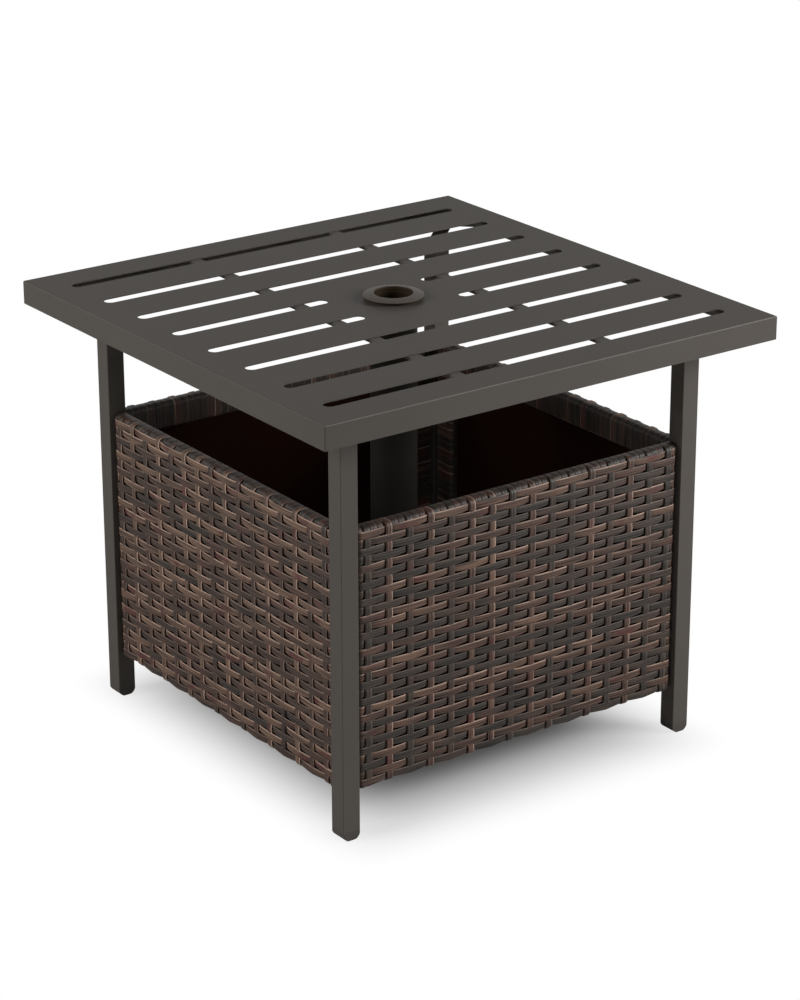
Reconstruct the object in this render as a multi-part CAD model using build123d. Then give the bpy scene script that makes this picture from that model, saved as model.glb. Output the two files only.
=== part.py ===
from build123d import *
import os
from math import sqrt

# Outdoor side table with an umbrella hole: a folded, slotted steel top on four square-tube legs,
# skirted by four woven panels that are bolted between the legs.
# Sizes are in millimetres. The origin is on the floor under the middle of the table, +Z is up,
# X runs along the slots and -Y is the front.

# Top tray, one folded sheet
TOP_SIDE = 560.0
TABLE_HEIGHT = 470.0
SHEET = 1.2
APRON_DEPTH = 25.0
BEND_RADIUS = 1.6  # outside of the fold between the top and its apron
CORNER_RADIUS = 1.2  # dressed weld at the upright corners
HEM_HEIGHT = 8.0  # apron edge folded back on itself

# Slots, all along X
SLOT_ROWS = 8
SLOT_WIDTH = 14.0
SLOT_END_MARGIN = 32.0  # edge of the top to the end of a slot
SLOT_ROW_MARGIN = 48.0  # edge of the top to the middle of the outer row
HUB_WIDTH = 122.0  # plain steel that splits the two middle rows
SLOT_EDGE = 0.4  # rolled over by the punch

# Flat bars welded across the slots from below
STIFFENER_WIDTH = 12.0
STIFFENER_DEPTH = 4.0
STIFFENER_SPACING = 181.0
STIFFENER_END_GAP = 10.0
STIFFENER_EDGE = 0.8

# Umbrella ring and tube
POLE_BORE = 39.0
RING_DIAMETER = 64.0
RING_HEIGHT = 6.4
RING_FALL = 1.9  # mouth to the top of the outer lip
RING_SWELL = 0.62  # height of the dome half way in, as a share of its fall
RING_NECK = 57.0  # under the lip
RING_UNDERCUT = 3.0  # top of the table to the underside of the lip
RING_MOUTH = 1.2  # rounded edge of the mouth
SEAT_DIAMETER = 40.6  # takes the cap that closes the hole
SEAT_LEVEL = 1.0
SEAT_EDGE = 0.4
COLLAR_DEPTH = 22.0
COLLAR_GAP = 0.3
TUBE_DIAMETER = 50.0
TUBE_WALL = 1.2
TUBE_LENGTH = 310.0
TUBE_FLANGE_DIAMETER = 108.0
TUBE_FLANGE_SHEET = 2.5
TUBE_FLANGE_CHAMFER = 0.8
WELD_GAP = 0.1

# Corner braces of the top
BRACE_REACH = 52.0  # along each apron
BRACE_SHEET = 1.6
BRACE_TRIM = 12.0
BRACE_GAP = 0.2

# Legs, tabs and feet
LEG_SIDE = 20.5
LEG_WALL = 1.2
LEG_CORNER = 0.9
LEG_BORE_CORNER = 0.4
LEG_INSET = 55.0  # edge of the top to the outside of a leg
TAB_WIDTH = 16.0
TAB_THICK = 3.0
TAB_HEEL = 12.0  # past the middle of the leg, towards the middle of the table
FOOT_HEAD = 11.0
FOOT_ROUND = 9.0  # across the slots' direction
FOOT_EDGE = 1.5  # on the two flat sides
FOOT_SPIGOT = 18.0
FOOT_WALL = 2.0
FOOT_GAP = 0.15

# Woven panels
PANEL_LIFT = 52.0  # floor to the lower edge
PANEL_HEIGHT = 277.0
PANEL_SEAT_GAP = 0.3
PANEL_END_GAP = 0.5  # panel end to the lug beside it
FRAME_WIDTH = 25.0
FRAME_DEPTH = 10.0
FRAME_WALL = 1.0
FRAME_GAP = 0.2
STRAND = 2.5  # strand wrapped round the frame
WEAVE_OVER = 3.5  # weave in front of the frame, up to its hollows
WEAVE_THICK = 5.5
ROW_PITCH = 8.9
ROW_CROWN = 1.0
EDGE_ROUND = 5.0
LINER_THICK = 1.5
LINER_GAP = 0.3

# Lugs welded to the legs
LUG_SHEET = 2.0
LUG_HEIGHT = 20.0
LUG_CORNER = 3.0
LUG_SEAT = 12.0  # overlap with the leg
LUG_MARGIN = 10.0  # bolt hole to the free end
LUG_FROM_BOTTOM = 36.0  # lower edge of the panel to the middle of its lower lugs
LUG_FROM_TOP = 63.0  # upper edge of the panel to the middle of its upper lugs
LUG_STAGGER = 22.0  # side panels' lugs stand clear of the front and back ones

# Fasteners
PANEL_BOLT = 6.0
PANEL_HEAD = 10.5
PANEL_HEAD_HEIGHT = 3.3
PANEL_SOCKET = 4.0
NUT_BODY = 9.0
NUT_TAIL_GAP = 0.5  # end of the nut to the far wall of the frame
NUT_FLANGE = 13.0
NUT_FLANGE_THICK = 1.5
TOP_BOLT = 8.0
TOP_HEAD = 14.0
TOP_HEAD_HEIGHT = 2.6
TOP_SOCKET = 5.0
WELD_NUT_FLATS = 13.0
WELD_NUT_HEIGHT = 6.5
TOP_BOLT_SETBACK = 13.0  # face of the brace to the bolt
HEAD_ROUND = 1.6
SOCKET_DEPTH = 2.2
HOLE_PLAY = 0.6
THREAD_GAP = 0.1

# Worked out from the sizes above
APRON_BOTTOM = TABLE_HEIGHT - APRON_DEPTH
UNDERSIDE = TABLE_HEIGHT - SHEET
HALF_TOP = TOP_SIDE / 2
LEG_OUT = HALF_TOP - LEG_INSET
LEG_IN = LEG_OUT - LEG_SIDE
LEG_MIDDLE = LEG_OUT - LEG_SIDE / 2
LEG_TOP = APRON_BOTTOM - TAB_THICK
TUBE_BORE = TUBE_DIAMETER - 2 * TUBE_WALL
PANEL_TOP = PANEL_LIFT + PANEL_HEIGHT
PANEL_HALF = LEG_IN - LUG_SHEET - PANEL_END_GAP
PANEL_BACK = LEG_IN + PANEL_SEAT_GAP  # distance of the panel's inner face from the middle
PANEL_THICK = STRAND + FRAME_DEPTH + WEAVE_OVER + ROW_CROWN
FRAME_HALF = PANEL_HALF - STRAND
BAND = STRAND + FRAME_WIDTH + STRAND  # wrapped border seen inside
STILE_MIDDLE = FRAME_HALF - FRAME_WIDTH / 2
NUT_LENGTH = FRAME_DEPTH - FRAME_WALL - NUT_TAIL_GAP
BRACE_CORNER = HALF_TOP - 2 * SHEET - BRACE_GAP
BRACE_FACE = sqrt(2) * (BRACE_CORNER - BRACE_REACH / 2)  # along the diagonal from the middle
TOP_BOLT_REACH = BRACE_FACE + TOP_BOLT_SETBACK

FRONT_LEFT = 225  # direction of the corner that the corner pieces are drawn for
CORNERS = {"front_left": 0, "front_right": 90, "back_right": 180, "back_left": 270}
SIDES = {"front": 0, "right": 90, "back": 180, "left": 270}


def turn(shape, angle):
    """Turn a shape about the table's middle."""
    return Rot(0, 0, angle) * shape


def block(width, depth, low, high):
    """A box centred on the table's middle between two heights."""
    return Pos(0, 0, low) * Box(width, depth, high - low, align=(Align.CENTER, Align.CENTER, Align.MIN))


def disc(diameter, low, high):
    """A round bar on the table's middle between two heights."""
    bar = Cylinder(diameter / 2, high - low, align=(Align.CENTER, Align.CENTER, Align.MIN))
    return Pos(0, 0, low) * bar


def square_bar(side, corner, low, high):
    """A square bar with rounded corners between two heights."""
    return extrude(Plane.XY.offset(low) * RectangleRounded(side, side, corner), high - low)


def slot_row_places():
    """Y of each slot row, from front to back."""
    first = -HALF_TOP + SLOT_ROW_MARGIN
    pitch = (TOP_SIDE - 2 * SLOT_ROW_MARGIN) / (SLOT_ROWS - 1)
    return [first + i * pitch for i in range(SLOT_ROWS)]


def slot_cutters():
    """Cutters for the slots; rows that meet the hub are split in two."""
    end = HALF_TOP - SLOT_END_MARGIN
    hub = HUB_WIDTH / 2
    cutters = []
    for y in slot_row_places():
        spans = [(-end, -hub), (hub, end)] if abs(y) < hub else [(-end, end)]
        for left, right in spans:
            outline = Pos((left + right) / 2, y) * SlotOverall(right - left, SLOT_WIDTH)
            cutters.append(extrude(Plane.XY.offset(APRON_BOTTOM) * outline, APRON_DEPTH))
    return cutters


def slotted_top():
    """Tray folded from one sheet: slotted top, four aprons with hemmed edges, umbrella hole."""
    outside = block(TOP_SIDE, TOP_SIDE, APRON_BOTTOM, TABLE_HEIGHT)
    outside = fillet(outside.edges().filter_by(Axis.Z), CORNER_RADIUS)
    outside = fillet(outside.edges().group_by(Axis.Z)[-1], BEND_RADIUS)
    inner_side = TOP_SIDE - 2 * SHEET
    hollow = block(inner_side, inner_side, APRON_BOTTOM, UNDERSIDE)
    hollow = fillet(hollow.edges().group_by(Axis.Z)[-1], BEND_RADIUS - SHEET)
    hem_top = APRON_BOTTOM + HEM_HEIGHT
    hem_side = inner_side - 2 * SHEET
    hem = block(inner_side, inner_side, APRON_BOTTOM, hem_top)
    hem -= block(hem_side, hem_side, APRON_BOTTOM, hem_top)
    tray = outside - hollow + hem
    tray -= slot_cutters()
    top_face = tray.faces().sort_by(Axis.Z)[-1]
    tray = fillet(top_face.inner_wires().edges(), SLOT_EDGE)
    return tray - disc(TUBE_BORE, APRON_BOTTOM, TABLE_HEIGHT)


def stiffener(x):
    """Flat bar under the top, across all the slots."""
    length = TOP_SIDE - 2 * (SHEET + STIFFENER_END_GAP)
    bar = block(STIFFENER_WIDTH, length, UNDERSIDE - STIFFENER_DEPTH, UNDERSIDE)
    bar = fillet(bar.edges().filter_by(Axis.Y).group_by(Axis.Z)[0], STIFFENER_EDGE)
    return Pos(x, 0, 0) * bar


def umbrella_ring():
    """Plastic ring: domed lip over a neck, seat for a cap in its mouth, collar down into the tube."""
    bore = POLE_BORE / 2
    seat = SEAT_DIAMETER / 2
    collar = TUBE_BORE / 2 - COLLAR_GAP
    neck = RING_NECK / 2
    rim = RING_DIAMETER / 2
    lip_top = RING_HEIGHT - RING_FALL
    lip = (lip_top - RING_UNDERCUT) / 2
    crest = seat + RING_MOUTH
    mouth_bend = RING_MOUTH * (1 - sqrt(0.5))
    outline = Polyline(
        (seat, RING_HEIGHT - RING_MOUTH), (seat, SEAT_LEVEL), (bore + SEAT_EDGE, SEAT_LEVEL),
        (bore, SEAT_LEVEL - SEAT_EDGE), (bore, -COLLAR_DEPTH), (collar, -COLLAR_DEPTH), (collar, 0),
        (neck, 0), (neck, RING_UNDERCUT), (rim - lip, RING_UNDERCUT),
    )
    edge = ThreePointArc((rim - lip, RING_UNDERCUT), (rim, RING_UNDERCUT + lip), (rim - lip, lip_top))
    middle = ((rim - lip + crest) / 2, lip_top + RING_SWELL * RING_FALL)
    dome = ThreePointArc((rim - lip, lip_top), middle, (crest, RING_HEIGHT))
    mouth = ThreePointArc(
        (crest, RING_HEIGHT), (seat + mouth_bend, RING_HEIGHT - mouth_bend), (seat, RING_HEIGHT - RING_MOUTH)
    )
    ring = revolve(Plane.XZ * make_face([outline, edge, dome, mouth]), Axis.Z)
    return Pos(0, 0, TABLE_HEIGHT) * ring


def umbrella_tube():
    """Pole guide welded under the top."""
    low = UNDERSIDE - TUBE_LENGTH
    return disc(TUBE_DIAMETER, low, UNDERSIDE) - disc(TUBE_BORE, low, UNDERSIDE)


def tube_flange():
    """Round plate that carries the tube under the hub."""
    low = UNDERSIDE - TUBE_FLANGE_SHEET
    plate = disc(TUBE_FLANGE_DIAMETER, low, UNDERSIDE)
    plate = chamfer(plate.edges().group_by(Axis.Z)[0], TUBE_FLANGE_CHAMFER)
    return plate - disc(TUBE_DIAMETER + 2 * WELD_GAP, low, UNDERSIDE)


def on_diagonal(shape, reach):
    """Move a shape from the middle to a place on the front left diagonal."""
    return Rot(0, 0, FRONT_LEFT) * Pos(reach, 0, 0) * shape


def corner_brace():
    """Angle across the front left corner of the tray: upright web and a foot for the leg's tab."""
    far = -BRACE_CORNER
    near = far + BRACE_REACH
    lean = BRACE_SHEET * sqrt(2)
    web_line = Polyline((far, near), (near, far), (near - lean, far), (far, near - lean), close=True)
    foot_line = Polyline(
        (far, near), (near, far), (far + BRACE_TRIM, far), (far, far + BRACE_TRIM), close=True
    )
    base = Plane.XY.offset(APRON_BOTTOM)
    brace = extrude(base * make_face(web_line), UNDERSIDE - APRON_BOTTOM)
    brace += extrude(base * make_face(foot_line), BRACE_SHEET)
    return brace - on_diagonal(disc(TOP_BOLT + HOLE_PLAY, APRON_BOTTOM, UNDERSIDE), TOP_BOLT_REACH)


def leg():
    """Square tube at the front left corner."""
    bore = LEG_SIDE - 2 * LEG_WALL
    tube = square_bar(LEG_SIDE, LEG_CORNER, FOOT_HEAD, LEG_TOP)
    tube -= square_bar(bore, LEG_BORE_CORNER, FOOT_HEAD, LEG_TOP)
    return Pos(-LEG_MIDDLE, -LEG_MIDDLE, 0) * tube


def leg_tab():
    """Flat bar welded on the leg's end, reaching out along the diagonal under the brace."""
    heel = LEG_MIDDLE * sqrt(2) - TAB_HEEL
    half = TAB_WIDTH / 2
    sides = Polyline((TOP_BOLT_REACH, half), (heel, half), (heel, -half), (TOP_BOLT_REACH, -half))
    nose = ThreePointArc((TOP_BOLT_REACH, -half), (TOP_BOLT_REACH + half, 0), (TOP_BOLT_REACH, half))
    bar = extrude(Plane.XY.offset(LEG_TOP) * make_face([sides, nose]), TAB_THICK)
    hole = Pos(TOP_BOLT_REACH, 0, 0) * disc(TOP_BOLT + HOLE_PLAY, LEG_TOP, APRON_BOTTOM)
    return Rot(0, 0, FRONT_LEFT) * (bar - hole)


def foot_profile(rounding):
    """Outline of a foot's head, its two lower corners rounded."""
    half = LEG_SIDE / 2
    flat = half - rounding
    bend = rounding * (1 - sqrt(0.5))
    upper = Polyline((-half, rounding), (-half, FOOT_HEAD), (half, FOOT_HEAD), (half, rounding))
    right = ThreePointArc((half, rounding), (half - bend, bend), (flat, 0))
    left = ThreePointArc((-flat, 0), (bend - half, bend), (-half, rounding))
    return make_face([upper, right, Line((flat, 0), (-flat, 0)), left])


def foot():
    """Plastic plug for a leg's lower end, its head rounded towards the floor."""
    half = LEG_SIDE / 2
    head = extrude(Plane.XZ * foot_profile(FOOT_ROUND), half, both=True)
    head &= extrude(Plane.YZ * foot_profile(FOOT_EDGE), half, both=True)
    head &= square_bar(LEG_SIDE, LEG_CORNER, 0, FOOT_HEAD)
    plug = LEG_SIDE - 2 * (LEG_WALL + FOOT_GAP)
    top = FOOT_HEAD + FOOT_SPIGOT
    spigot = square_bar(plug, LEG_BORE_CORNER, FOOT_HEAD, top)
    spigot -= square_bar(plug - 2 * FOOT_WALL, LEG_BORE_CORNER, FOOT_HEAD, top)
    return head + spigot


def panel_slab(half_width, low, high, inner, outer):
    """A slab in the front panel's place; inner and outer count outwards from its inner face."""
    slab = Box(2 * half_width, outer - inner, high - low)
    return Pos(0, -PANEL_BACK - (inner + outer) / 2, (low + high) / 2) * slab


def border(margin_out, margin_in, inner, outer):
    """A slab with a window; both margins count inwards from the panel's edge."""
    outside, inside = (
        panel_slab(PANEL_HALF - margin, PANEL_LIFT + margin, PANEL_TOP - margin, inner, outer)
        for margin in (margin_out, margin_in)
    )
    return outside - inside


def row_edge(face, low, high):
    """Outer line of the weave from its lower to its upper edge, one shallow arc for each row."""
    rows = max(1, round((high - low) / ROW_PITCH))
    step = (high - low) / rows
    arcs = []
    for i in range(rows):
        start = low + i * step
        crown = (face - ROW_CROWN, start + step / 2)
        arcs.append(ThreePointArc((face, start), crown, (face, start + step)))
    return arcs


def panel_blank():
    """Woven panel before its hollows are cut: one profile, rowed outside, rolled over at both edges."""
    inner = -PANEL_BACK
    face = inner - PANEL_THICK + ROW_CROWN
    low = PANEL_LIFT + EDGE_ROUND
    high = PANEL_TOP - EDGE_ROUND
    bend = EDGE_ROUND * (1 - sqrt(0.5))
    lines = row_edge(face, low, high)
    for edge, start, lift in ((PANEL_TOP, high, -bend), (PANEL_LIFT, low, bend)):
        lines += [
            ThreePointArc((face, start), (face + bend, edge + lift), (face + EDGE_ROUND, edge)),
            Line((face + EDGE_ROUND, edge), (inner - EDGE_ROUND, edge)),
            ThreePointArc((inner - EDGE_ROUND, edge), (inner - bend, edge + lift), (inner, start)),
        ]
    lines.append(Line((inner, low), (inner, high)))
    return extrude(Plane.YZ * make_face(lines), PANEL_HALF, both=True)


def lug_heights(stagger):
    """Middle heights of a panel's lower and upper lugs."""
    return (PANEL_LIFT + LUG_FROM_BOTTOM + stagger, PANEL_TOP - LUG_FROM_TOP - stagger)


def bolt_places(stagger):
    """Bolt axes of the front panel as X and Z, one for each lug."""
    return [(x, z) for z in lug_heights(stagger) for x in (-STILE_MIDDLE, STILE_MIDDLE)]


def rod(diameter, x, z, inner, outer):
    """A round bar square to the front panel; inner and outer count outwards from its inner face."""
    bar = Rot(90, 0, 0) * Cylinder(diameter / 2, outer - inner)
    return Pos(x, -PANEL_BACK - (inner + outer) / 2, z) * bar


def panel_weave(stagger):
    """Weave over the frame: wrapped border all round, single woven field, pocket for the liner."""
    back_of_field = PANEL_THICK - ROW_CROWN - WEAVE_THICK
    weave = panel_blank()
    weave -= panel_slab(PANEL_HALF - BAND, PANEL_LIFT + BAND, PANEL_TOP - BAND, 0, back_of_field)
    weave -= border(
        STRAND - FRAME_GAP, STRAND + FRAME_WIDTH + FRAME_GAP,
        STRAND - FRAME_GAP, STRAND + FRAME_DEPTH + FRAME_GAP,
    )
    return weave - [rod(NUT_FLANGE + HOLE_PLAY, x, z, 0, STRAND) for x, z in bolt_places(stagger)]


def panel_frame(stagger):
    """Welded rectangle of flat tube inside the weave."""
    outer = STRAND + FRAME_DEPTH
    frame = border(STRAND, STRAND + FRAME_WIDTH, STRAND, outer)
    frame -= border(
        STRAND + FRAME_WALL, STRAND + FRAME_WIDTH - FRAME_WALL, STRAND + FRAME_WALL, outer - FRAME_WALL
    )
    drill = NUT_BODY + 2 * THREAD_GAP
    return frame - [rod(drill, x, z, 0, STRAND + FRAME_WALL) for x, z in bolt_places(stagger)]


def panel_liner():
    """Dark board behind the woven field."""
    outer = PANEL_THICK - ROW_CROWN - WEAVE_THICK
    margin = BAND + LINER_GAP
    half = PANEL_HALF - margin
    return panel_slab(half, PANEL_LIFT + margin, PANEL_TOP - margin, outer - LINER_THICK, outer)


def panel_lugs(stagger):
    """Plates welded to the legs' inner faces, reaching behind the front panel's uprights."""
    inner = -PANEL_SEAT_GAP - LUG_SHEET
    free_end = STILE_MIDDLE - LUG_MARGIN
    welded_end = LEG_IN + LUG_SEAT
    lugs = []
    for x, z in bolt_places(stagger):
        plate = Box(welded_end - free_end, LUG_SHEET, LUG_HEIGHT)
        plate = fillet(plate.edges().filter_by(Axis.Y), LUG_CORNER)
        side = 1 if x > 0 else -1
        plate = Pos(side * (free_end + welded_end) / 2, -LEG_IN + LUG_SHEET / 2, z) * plate
        lugs.append(plate - rod(PANEL_BOLT + HOLE_PLAY, x, z, inner, 0))
    return lugs


def socket_bolt(shank, length, head, head_height, key):
    """Button-head bolt, head below z 0 and shank up from it."""
    cap = Cylinder(head / 2, head_height, align=(Align.CENTER, Align.CENTER, Align.MAX))
    cap = fillet(cap.edges().group_by(Axis.Z)[0], HEAD_ROUND)
    drive = Plane.XY.offset(-head_height) * RegularPolygon(key / 2, 6, major_radius=False)
    shaft = Cylinder(shank / 2, length, align=(Align.CENTER, Align.CENTER, Align.MIN))
    return cap + shaft - extrude(drive, SOCKET_DEPTH)


def panel_bolts(stagger):
    """Bolts from inside the table through the front panel's lugs."""
    length = LUG_SHEET + PANEL_SEAT_GAP + STRAND + NUT_LENGTH
    bolt = socket_bolt(PANEL_BOLT, length, PANEL_HEAD, PANEL_HEAD_HEIGHT, PANEL_SOCKET)
    seat = -LEG_IN + LUG_SHEET
    return [Pos(x, seat, z) * Rot(90, 0, 0) * bolt for x, z in bolt_places(stagger)]


def panel_rivet_nuts(stagger):
    """Threaded rivet nuts set in the front panel's uprights."""
    nuts = []
    for x, z in bolt_places(stagger):
        nut = rod(NUT_FLANGE, x, z, STRAND - NUT_FLANGE_THICK, STRAND)
        nut += rod(NUT_BODY, x, z, STRAND, STRAND + NUT_LENGTH)
        nuts.append(nut - rod(PANEL_BOLT + 2 * THREAD_GAP, x, z, 0, STRAND + NUT_LENGTH))
    return nuts


def top_bolt():
    """Bolt up through the front left tab into the brace."""
    length = TAB_THICK + BRACE_SHEET + WELD_NUT_HEIGHT
    bolt = socket_bolt(TOP_BOLT, length, TOP_HEAD, TOP_HEAD_HEIGHT, TOP_SOCKET)
    return on_diagonal(Pos(0, 0, LEG_TOP) * bolt, TOP_BOLT_REACH)


def top_weld_nut():
    """Hexagon nut welded on the foot of the front left brace."""
    low = APRON_BOTTOM + BRACE_SHEET
    outline = Plane.XY.offset(low) * RegularPolygon(WELD_NUT_FLATS / 2, 6, major_radius=False)
    nut = extrude(outline, WELD_NUT_HEIGHT)
    nut -= disc(TOP_BOLT + 2 * THREAD_GAP, low, low + WELD_NUT_HEIGHT)
    return on_diagonal(nut, TOP_BOLT_REACH)


def save(name, shape):
    """Write one node; a list of solids becomes one group."""
    group = Compound(children=list(shape)) if isinstance(shape, list) else shape
    export_step(group, f"parts/{name}.step")


def main():
    """Build every piece and write it out."""
    os.makedirs("parts", exist_ok=True)
    save("slotted_top", slotted_top())
    save("stiffener_left", stiffener(-STIFFENER_SPACING / 2))
    save("stiffener_right", stiffener(STIFFENER_SPACING / 2))
    save("umbrella_ring", umbrella_ring())
    save("umbrella_tube", umbrella_tube())
    save("tube_flange", tube_flange())

    corner_pieces = {"corner_brace": corner_brace(), "leg": leg(), "leg_tab": leg_tab()}
    for corner, angle in CORNERS.items():
        for piece, shape in corner_pieces.items():
            save(f"{piece}_{corner}", turn(shape, angle))
        plug = Pos(-LEG_MIDDLE, -LEG_MIDDLE, 0) * turn(foot(), -angle)  # rounded the same way at every corner
        save(f"foot_{corner}", turn(plug, angle))
    save("top_bolts", [turn(top_bolt(), angle) for angle in CORNERS.values()])
    save("top_weld_nuts", [turn(top_weld_nut(), angle) for angle in CORNERS.values()])

    bolts = []
    nuts = []
    for side, angle in SIDES.items():
        stagger = LUG_STAGGER if side in ("left", "right") else 0
        save(f"{side}_panel_weave", turn(panel_weave(stagger), angle))
        save(f"{side}_panel_frame", turn(panel_frame(stagger), angle))
        save(f"{side}_panel_liner", turn(panel_liner(), angle))
        save(f"{side}_panel_lugs", [turn(lug, angle) for lug in panel_lugs(stagger)])
        bolts += [turn(bolt, angle) for bolt in panel_bolts(stagger)]
        nuts += [turn(nut, angle) for nut in panel_rivet_nuts(stagger)]
    save("panel_bolts", bolts)
    save("panel_rivet_nuts", nuts)


main()
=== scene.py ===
"""Dress the outdoor side table: coated steel, woven resin panels, a white studio and the camera.

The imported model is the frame. Every place comes from its nodes, in metres, with +Z up, X along the
slots of the top and -Y towards the front panel. Sizes that belong to the weave are in millimetres.
"""

import logging
import math
from dataclasses import dataclass
from enum import Enum
from typing import Any

import bpy
import numpy as np
from mathutils import Matrix, Vector


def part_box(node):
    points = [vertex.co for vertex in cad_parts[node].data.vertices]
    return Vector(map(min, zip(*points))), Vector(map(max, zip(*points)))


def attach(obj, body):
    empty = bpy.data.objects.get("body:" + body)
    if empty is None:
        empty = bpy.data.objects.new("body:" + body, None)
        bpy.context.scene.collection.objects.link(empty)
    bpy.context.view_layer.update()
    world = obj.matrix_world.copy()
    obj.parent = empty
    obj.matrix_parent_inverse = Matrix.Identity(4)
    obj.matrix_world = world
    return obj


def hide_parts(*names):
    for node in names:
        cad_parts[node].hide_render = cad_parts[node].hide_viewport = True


LOG = logging.getLogger("side_table")
MM = 0.001
BODY = "root"
STRAND_UV = "strand_uv"
TONE = "strand_tone"
NUMBER = "strand_number"
ACROSS = "strand_across"
NUMBER_STEP = 7.3  # keeps the noise of neighbouring strands apart
FIRST_STAKE = 100  # numbers of the stakes, wraps and bindings follow those of the rows
FIRST_WRAP = 200
BINDING = 300
SMOOTH_ANGLE = math.radians(50)

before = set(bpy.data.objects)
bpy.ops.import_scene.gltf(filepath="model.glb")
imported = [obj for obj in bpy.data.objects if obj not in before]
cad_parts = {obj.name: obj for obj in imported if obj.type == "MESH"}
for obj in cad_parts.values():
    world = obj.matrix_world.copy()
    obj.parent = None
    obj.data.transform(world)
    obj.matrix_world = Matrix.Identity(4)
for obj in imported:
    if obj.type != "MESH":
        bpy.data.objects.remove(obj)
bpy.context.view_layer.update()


class Side(Enum):
    """The four sides of the table, with their turn about Z in degrees from the front."""

    FRONT = 0
    RIGHT = 90
    BACK = 180
    LEFT = 270

    @property
    def label(self) -> str:
        """Name of the side as the nodes spell it."""
        return self.name.lower()


class Corner(Enum):
    """The four corners of the table, as the nodes spell them."""

    FRONT_LEFT = "front_left"
    FRONT_RIGHT = "front_right"
    BACK_RIGHT = "back_right"
    BACK_LEFT = "back_left"


class Tone(Enum):
    """Colours that the resin strands are drawn in: charcoal near 0, brown at 1, full tan from 2."""

    CHARCOAL = 0.1
    BROWN = 1.0
    TAN = 1.45


def linear(colour: str) -> tuple[float, float, float, float]:
    """Turn an sRGB hex colour into linear RGBA.

    Args:
        colour: Six hex digits with a leading hash.

    Returns:
        Linear red, green, blue and an alpha of one.
    """
    parts = [int(colour[i:i + 2], 16) / 255 for i in (1, 3, 5)]
    red, green, blue = (p / 12.92 if p <= 0.04045 else ((p + 0.055) / 1.055) ** 2.4 for p in parts)
    return red, green, blue, 1.0


def add_node(tree: bpy.types.NodeTree, kind: str, inputs: dict[Any, Any] | None = None,
             **settings: Any) -> bpy.types.Node:
    """Add one shader node with its settings, values and links.

    Args:
        tree: Node tree that gets the node.
        kind: Blender's identifier of the node.
        inputs: Values or output sockets by input name or number.
        settings: Attributes of the node itself.

    Returns:
        The new node.
    """
    node = tree.nodes.new(kind)
    for name, value in settings.items():
        setattr(node, name, value)
    for socket, value in (inputs or {}).items():
        if isinstance(value, bpy.types.NodeSocket):
            tree.links.new(value, node.inputs[socket])
        else:
            node.inputs[socket].default_value = value
    return node


def reckon(tree: bpy.types.NodeTree, operation: str, *values: Any,
           clamp: bool = False) -> bpy.types.NodeSocket:
    """Add one step of arithmetic.

    Args:
        tree: Node tree that gets the node.
        operation: Blender's name of the operation.
        values: Numbers or value sockets.
        clamp: Whether the result is kept between zero and one.

    Returns:
        The value socket.
    """
    step = add_node(tree, "ShaderNodeMath", dict(enumerate(values)), operation=operation, use_clamp=clamp)
    return step.outputs["Value"]


def mix(tree: bpy.types.NodeTree, share: bpy.types.NodeSocket, first: Any,
        second: Any) -> bpy.types.NodeSocket:
    """Mix two colours.

    Args:
        tree: Node tree that gets the node.
        share: Share of the second colour.
        first: Colour or colour socket.
        second: Colour or colour socket.

    Returns:
        The colour socket.
    """
    mixed = add_node(tree, "ShaderNodeMix", {"Factor": share, "A": first, "B": second}, data_type="RGBA")
    return mixed.outputs["Result"]


def new_material(name: str) -> tuple[bpy.types.Material, bpy.types.NodeTree]:
    """Start a node material with an empty tree.

    Args:
        name: Name of the material.

    Returns:
        The material and its node tree.
    """
    material = bpy.data.materials.new(name)
    material.use_nodes = True
    material.node_tree.nodes.clear()
    return material, material.node_tree


def per_mm(size: float) -> float:
    """Texture scale that gives a feature of a real size on Object coordinates.

    Args:
        size: Size of the feature in millimetres.

    Returns:
        The scale.
    """
    return 1 / (size * MM)


@dataclass(frozen=True)
class PowderCoat:
    """Polyester powder coat, sprayed on steel and baked: satin, with a faint orange peel.

    The eye gets an even grey-bronze with soft highlights along the folds.
    """

    name: str
    colour: str
    shade: str
    roughness: float = 0.42
    specular: float = 0.035
    rough_swing: float = 0.05
    peel_mm: float = 2.2
    peel_strength: float = 0.12
    peel_height_mm: float = 0.1
    mottle_mm: float = 140.0

    def base(self, tree: bpy.types.NodeTree, place: bpy.types.NodeSocket) -> bpy.types.NodeSocket:
        """Colour of the coat.

        Args:
            tree: Node tree that gets the nodes.
            place: Object coordinates.

        Returns:
            The colour socket.
        """
        mottle = add_node(tree, "ShaderNodeTexNoise", {
            "Vector": place, "Scale": per_mm(self.mottle_mm), "Detail": 2.0})
        return mix(tree, mottle.outputs["Fac"], linear(self.colour), linear(self.shade))

    def material(self) -> bpy.types.Material:
        """Build the coat's material."""
        material, tree = new_material(self.name)
        place = add_node(tree, "ShaderNodeTexCoord").outputs["Object"]
        peel = add_node(tree, "ShaderNodeTexNoise", {
            "Vector": place, "Scale": per_mm(self.peel_mm), "Detail": 3.0})
        rough = add_node(tree, "ShaderNodeMapRange", {
            "Value": peel.outputs["Fac"], "To Min": self.roughness - self.rough_swing,
            "To Max": self.roughness + self.rough_swing})
        bump = add_node(tree, "ShaderNodeBump", {
            "Height": peel.outputs["Fac"], "Strength": self.peel_strength,
            "Distance": self.peel_height_mm * MM})
        shader = add_node(tree, "ShaderNodeBsdfPrincipled", {
            "Base Color": self.base(tree, place), "Roughness": rough.outputs["Result"],
            "Specular IOR Level": self.specular, "Normal": bump.outputs["Normal"]})
        add_node(tree, "ShaderNodeOutputMaterial", {"Surface": shader.outputs["BSDF"]})
        return material


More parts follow.
